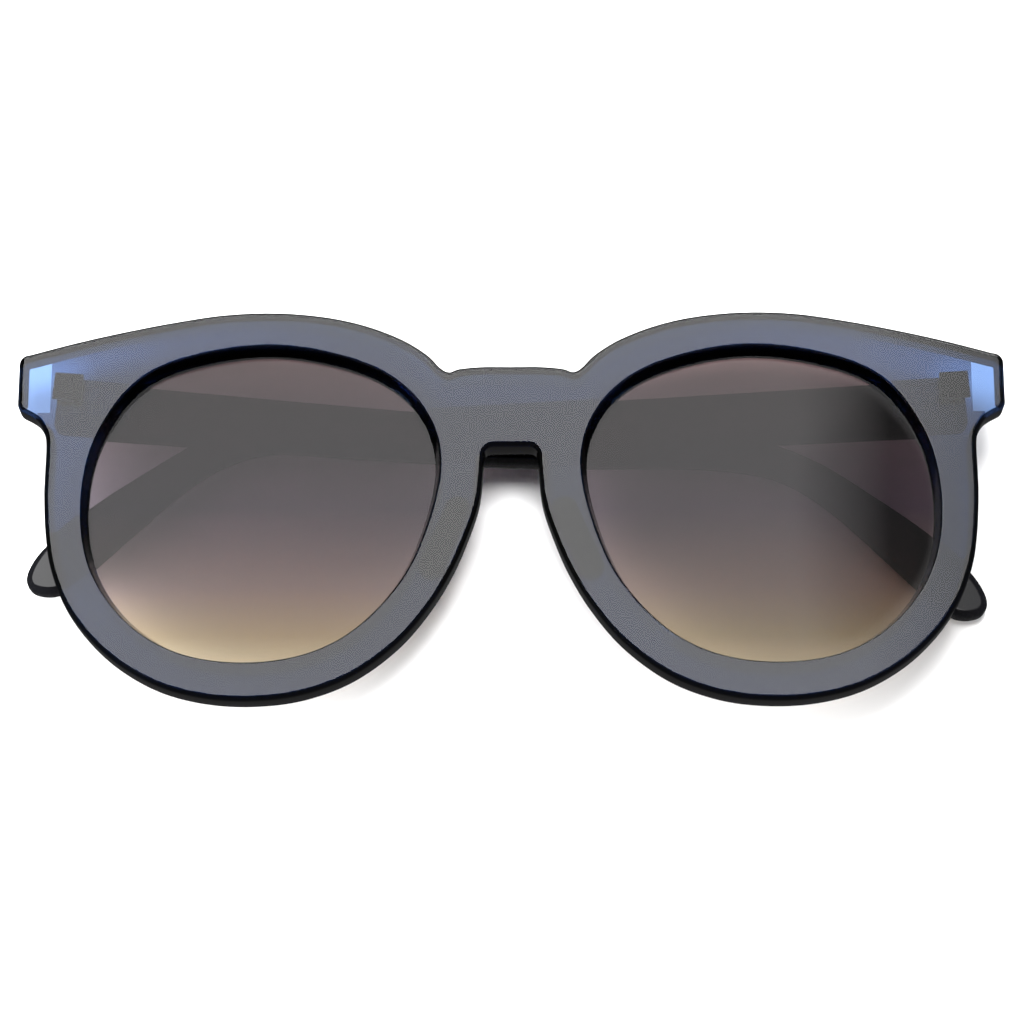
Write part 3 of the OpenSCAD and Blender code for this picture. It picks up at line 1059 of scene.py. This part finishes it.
@dataclass
class Studio:
    """Table, softboxes and camera, as the photograph has them."""

    temples: Temples
    tilt: float = 17.86
    yaw: float = 0.36
    distance: float = 552.2
    focal_px: float = 3652.2
    centre_px: Point = (511.0, 501.76)
    frame_px: float = 1024.0
    sensor: float = 36.0
    clip_m: Point = (0.01, 20.0)
    table: float = 3000.0
    boxes: tuple[Softbox, ...] = (
        Softbox("softbox_top", -17.86, -0.36, 700.0, (660.0, 460.0), 3.85, feathered=True),
        Softbox("softbox_back", -58.0, 0.0, 800.0, (1000.0, 620.0), 3.4),
        Softbox("softbox_left", 22.0, -58.0, 450.0, (340.0, 340.0), 13.5, mirrored=False),
        Softbox("softbox_right", 22.0, 58.0, 800.0, (600.0, 600.0), 2.4, mirrored=False),
        Softbox(
            "softbox_over", -13.0, 0.0, 750.0, (340.0, 250.0), 36.0, mirrored=False, refracted=False,
        ),
    )
    fade: Point = (115.0, 220.0)
    faded: float = 0.1
    sky: float = 0.08

    def target(self) -> Vector:
        """The point that the camera was fitted to: the middle of the front face."""
        return Vector((0, 0, self.temples.front.face_z * MM))

    def toward(self, tilt: float, yaw: float) -> Vector:
        """Direction that leans from the front's normal by tilt towards the lower rims, and by yaw."""
        t, y = math.radians(tilt), math.radians(yaw)
        return Vector((math.sin(y) * math.cos(t), -math.sin(t), math.cos(t) * math.cos(y)))

    def lay_table(self) -> None:
        """Lay a table against the outer face of the right temple, on which the object rests."""
        bm = bmesh.new()
        bmesh.ops.create_grid(bm, x_segments=2, y_segments=2, size=self.table / 2 * MM)
        temples = self.temples
        outer = Matrix.Translation((0, 0, (temples.stand + temples.thick) * MM))
        bmesh.ops.transform(bm, matrix=temples.place(Side.RIGHT) @ outer, verts=bm.verts)
        bmesh.ops.recalc_face_normals(bm, faces=bm.faces)
        if next(iter(bm.faces)).normal.z < 0:
            bmesh.ops.reverse_faces(bm, faces=bm.faces)
        mesh = bpy.data.meshes.new("table")
        bm.to_mesh(mesh)
        bm.free()
        mesh.materials.append(TABLE.material())
        table = bpy.data.objects.new("table", mesh)
        table.visible_glossy = False
        bpy.context.scene.collection.objects.link(table)

    def aim(self, thing: bpy.types.Object, away: Vector, distance: float) -> None:
        """Put a lamp or camera at a distance from the target and turn it to the target.

        Args:
            thing: the lamp or camera.
            away: direction from the target.
            distance: how far away it goes.
        """
        forward = -away.normalized()
        right = forward.cross(Vector((0, 1, 0))).normalized()
        up = right.cross(forward)
        turn = Matrix((right, up, -forward)).transposed().to_4x4()
        spot = self.target() + away.normalized() * distance * MM
        thing.matrix_world = Matrix.Translation(spot) @ turn

    def feather(self, lamp: bpy.types.Light) -> None:
        """Let a box fade along X to its faded share, as the photographed reflections do.

        Args:
            lamp: the box's lamp.
        """
        lamp.use_nodes = True
        tree = lamp.node_tree
        where = add(tree, "ShaderNodeNewGeometry").outputs["Position"]
        start, end = (x * MM for x in self.fade)
        fall = between(tree, axes(tree, where)["X"], start, end, 1.0, self.faded)
        tree.links.new(fall, tree.nodes["Emission"].inputs["Strength"])

    def light(self) -> None:
        """Hang a softbox where the front mirrors it into the camera, and the others round it."""
        for kind in self.boxes:
            lamp = bpy.data.lights.new(kind.name, "AREA")
            lamp.shape = "RECTANGLE"
            lamp.size, lamp.size_y = (s * MM for s in kind.size)
            lamp.energy = kind.radiance * math.pi * lamp.size * lamp.size_y
            box = bpy.data.objects.new(kind.name, lamp)
            box.visible_camera = False
            box.visible_glossy = kind.mirrored
            box.visible_transmission = kind.refracted
            bpy.context.scene.collection.objects.link(box)
            self.aim(box, self.toward(kind.tilt, kind.yaw), kind.distance)
            if kind.feathered:
                self.feather(lamp)
        world = bpy.data.worlds.new("room")
        bpy.context.scene.world = world
        world.use_nodes = True
        room = world.node_tree.nodes["Background"].inputs
        room["Color"].default_value = linear("#ffffff")
        room["Strength"].default_value = self.sky

    def camera(self) -> None:
        """Set up the camera that was fitted to the photographed outline."""
        data = bpy.data.cameras.new("camera")
        data.sensor_width = self.sensor
        data.lens = self.focal_px / self.frame_px * self.sensor
        data.shift_x = (self.frame_px / 2 - self.centre_px[0]) / self.frame_px
        data.shift_y = (self.centre_px[1] - self.frame_px / 2) / self.frame_px
        data.clip_start, data.clip_end = self.clip_m
        camera = bpy.data.objects.new("camera", data)
        bpy.context.scene.collection.objects.link(camera)
        self.aim(camera, self.toward(self.tilt, self.yaw), self.distance)
        bpy.context.scene.camera = camera

    def build(self) -> None:
        """Set up everything that isn't the object."""
        self.camera()
        self.lay_table()
        self.light()
        bpy.context.scene.view_settings.view_transform = "Standard"


def main() -> None:
    """Build the classes in order."""
    logging.basicConfig(level=logging.INFO, format="%(name)s: %(message)s")
    front = Front()
    temples = Temples(front)
    for part in (Studio(temples), front, Lenses(front), NosePads(front), temples, Metalwork()):
        part.build()
        log.info("%s done", type(part).__name__)


if __name__ == "__main__":
    main()
